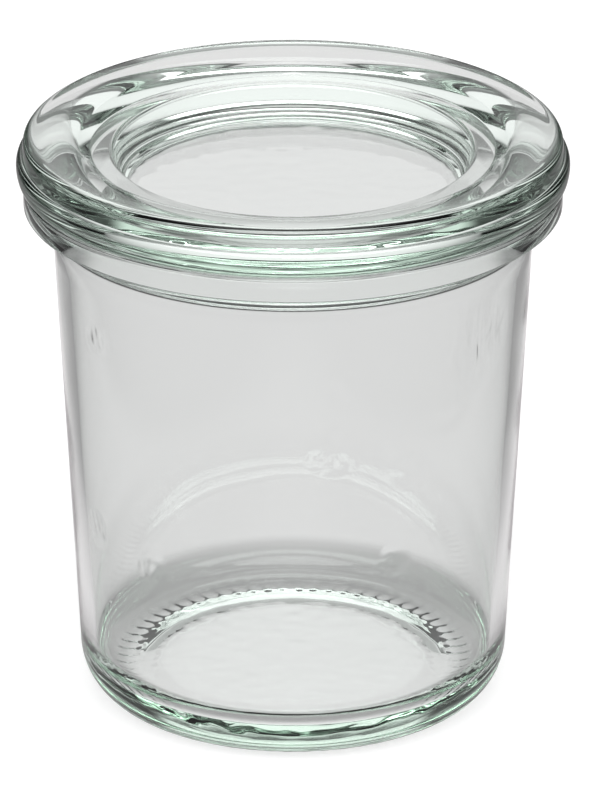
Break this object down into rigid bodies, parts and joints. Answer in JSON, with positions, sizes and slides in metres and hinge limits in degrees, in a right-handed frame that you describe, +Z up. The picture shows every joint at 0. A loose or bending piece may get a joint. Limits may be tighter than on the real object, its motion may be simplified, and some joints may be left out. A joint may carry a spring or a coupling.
{
  "type": "glass canning jar",
  "caption": "Small tapered preserving jar of clear pressed glass with a loose glass lid that rests on its wide rim; empty.",
  "frame": {"origin": "centre of the base, on the surface that the jar stands on", "axes": "+Z up along the axis that the jar and its lid are turned about"},
  "size_m": [0.07, 0.07, 0.0755],
  "materials": {
    "jar_glass": "clear pressed soda-lime glass, fire-polished, faintly green in its thick edges",
    "lid_glass": "clear pressed soda-lime glass, fire-polished, faintly green in its thick edges"
  },
  "bodies": {
    "root": {"jar": "jar_glass", "lid": "lid_glass"}
  },
  "joints": []
}
